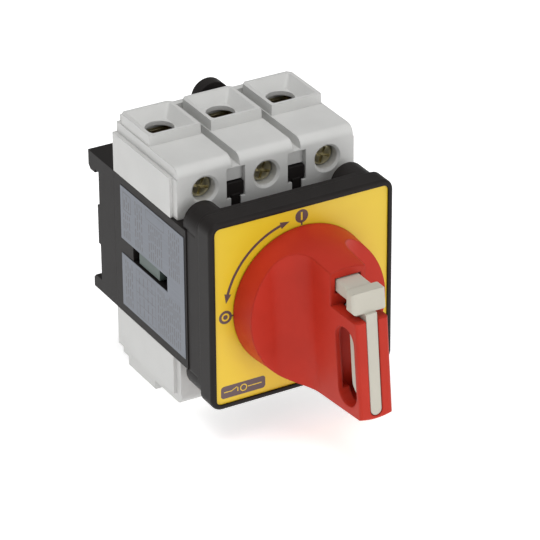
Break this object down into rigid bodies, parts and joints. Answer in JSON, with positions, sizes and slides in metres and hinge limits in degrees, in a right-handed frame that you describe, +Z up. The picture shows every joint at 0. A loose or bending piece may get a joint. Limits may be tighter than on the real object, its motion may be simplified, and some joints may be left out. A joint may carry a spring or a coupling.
{
  "type": "rotary isolator switch",
  "caption": "Rail-mounted rotary isolator switch with a square front plate, padlockable turning handle and shrouded screw terminals.",
  "frame": {"origin": "centre of the rail seat on the rear, on the operating shaft's axis", "axes": "+X across the poles, to the right seen from the front; +Y from the handle back to the rail; +Z up towards the line terminals"},
  "size_m": [0.0602, 0.1155, 0.0832],
  "materials": {
    "red_plastic": "fine satin",
    "ivory_plastic": "satin",
    "black_plastic": "satin",
    "grey_plastic": "matt",
    "carrier_plastic": "satin",
    "yellow_print": "satin lacquer",
    "silver_foil": "satin",
    "zinc_steel": "zinc plated",
    "spring_steel": "bright",
    "copper": "bright copper alloy",
    "silver_alloy": "silver contact alloy"
  },
  "bodies": {
    "housing": {"front_label": "yellow_print", "bezel": "black_plastic", "front_frame": "black_plastic", "corner_screws": "zinc_steel", "index_springs": "spring_steel", "switch_body": "black_plastic", "rating_label": "silver_foil", "rear_base": "black_plastic", "rear_screws": "zinc_steel", "line_shroud": "grey_plastic", "load_shroud": "grey_plastic", "line_contacts": "copper", "load_contacts": "copper", "line_contact_tips": "silver_alloy", "load_contact_tips": "silver_alloy", "latch_spring": "spring_steel"},
    "operator": {"handle": "red_plastic", "handle_retaining_ring": "zinc_steel", "operating_shaft": "zinc_steel", "index_disc": "zinc_steel", "rotor_cam": "black_plastic", "lock_spring": "spring_steel"},
    "lock": {"lock_slider": "ivory_plastic"},
    "carrier": {"contact_carrier": "carrier_plastic", "contact_bridges": "copper", "bridge_tips": "silver_alloy", "contact_springs": "spring_steel"},
    "latch": {"rail_latch": "black_plastic"},
    "line_screw_1": {"line_screw_1": "zinc_steel"},
    "line_clamp_1": {"line_clamp_1": "zinc_steel"},
    "line_screw_2": {"line_screw_2": "zinc_steel"},
    "line_clamp_2": {"line_clamp_2": "zinc_steel"},
    "line_screw_3": {"line_screw_3": "zinc_steel"},
    "line_clamp_3": {"line_clamp_3": "zinc_steel"},
    "load_screw_1": {"load_screw_1": "zinc_steel"},
    "load_clamp_1": {"load_clamp_1": "zinc_steel"},
    "load_screw_2": {"load_screw_2": "zinc_steel"},
    "load_clamp_2": {"load_clamp_2": "zinc_steel"},
    "load_screw_3": {"load_screw_3": "zinc_steel"},
    "load_clamp_3": {"load_clamp_3": "zinc_steel"}
  },
  "joints": [
    {"name": "handle_turn", "type": "hinge", "parent": "housing", "child": "operator", "pos_m": [0, -0.0675, 0], "axis": [0, -1, 0], "range_deg": [0, 90]},
    {"name": "lock_push", "type": "slide", "parent": "operator", "child": "lock", "axis": [0, 1, 0], "range_m": [0, 0.007], "stiffness_N_per_m": 150, "springref_m": -0.002, "deforming": ["lock_spring"]},
    {"name": "carrier_slide", "type": "slide", "parent": "housing", "child": "carrier", "axis": [0, -1, 0], "range_m": [0, 0.0056]},
    {"name": "latch_slide", "type": "slide", "parent": "housing", "child": "latch", "axis": [0, 0, -1], "range_m": [0, 0.004], "stiffness_N_per_m": 400, "springref_m": -0.002, "deforming": ["latch_spring"]},
    {"name": "line_screw_1_turn", "type": "hinge", "parent": "housing", "child": "line_screw_1", "pos_m": [-0.02, -0.0375, 0.03], "axis": [0, 1, 0], "range_deg": [0, 3155]},
    {"name": "line_clamp_1_slide", "type": "slide", "parent": "housing", "child": "line_clamp_1", "axis": [0, -1, 0], "range_m": [0, 0.007]},
    {"name": "line_screw_2_turn", "type": "hinge", "parent": "housing", "child": "line_screw_2", "pos_m": [0, -0.0375, 0.03], "axis": [0, 1, 0], "range_deg": [0, 3155]},
    {"name": "line_clamp_2_slide", "type": "slide", "parent": "housing", "child": "line_clamp_2", "axis": [0, -1, 0], "range_m": [0, 0.007]},
    {"name": "line_screw_3_turn", "type": "hinge", "parent": "housing", "child": "line_screw_3", "pos_m": [0.02, -0.0375, 0.03], "axis": [0, 1, 0], "range_deg": [0, 3155]},
    {"name": "line_clamp_3_slide", "type": "slide", "parent": "housing", "child": "line_clamp_3", "axis": [0, -1, 0], "range_m": [0, 0.007]},
    {"name": "load_screw_1_turn", "type": "hinge", "parent": "housing", "child": "load_screw_1", "pos_m": [0.02, -0.0375, -0.03], "axis": [0, 1, 0], "range_deg": [0, 3155]},
    {"name": "load_clamp_1_slide", "type": "slide", "parent": "housing", "child": "load_clamp_1", "axis": [0, -1, 0], "range_m": [0, 0.007]},
    {"name": "load_screw_2_turn", "type": "hinge", "parent": "housing", "child": "load_screw_2", "pos_m": [0, -0.0375, -0.03], "axis": [0, 1, 0], "range_deg": [0, 3155]},
    {"name": "load_clamp_2_slide", "type": "slide", "parent": "housing", "child": "load_clamp_2", "axis": [0, -1, 0], "range_m": [0, 0.007]},
    {"name": "load_screw_3_turn", "type": "hinge", "parent": "housing", "child": "load_screw_3", "pos_m": [-0.02, -0.0375, -0.03], "axis": [0, 1, 0], "range_deg": [0, 3155]},
    {"name": "load_clamp_3_slide", "type": "slide", "parent": "housing", "child": "load_clamp_3", "axis": [0, -1, 0], "range_m": [0, 0.007]}
  ],
  "couplings": [
    {"joint": "carrier_slide", "follows": "handle_turn", "m_per_rad": 0.0035014},
    {"joint": "line_screw_1_turn", "follows": "line_clamp_1_slide", "rad_per_m": 7854},
    {"joint": "line_screw_2_turn", "follows": "line_clamp_2_slide", "rad_per_m": 7854},
    {"joint": "line_screw_3_turn", "follows": "line_clamp_3_slide", "rad_per_m": 7854},
    {"joint": "load_screw_1_turn", "follows": "load_clamp_1_slide", "rad_per_m": 7854},
    {"joint": "load_screw_2_turn", "follows": "load_clamp_2_slide", "rad_per_m": 7854},
    {"joint": "load_screw_3_turn", "follows": "load_clamp_3_slide", "rad_per_m": 7854}
  ]
}
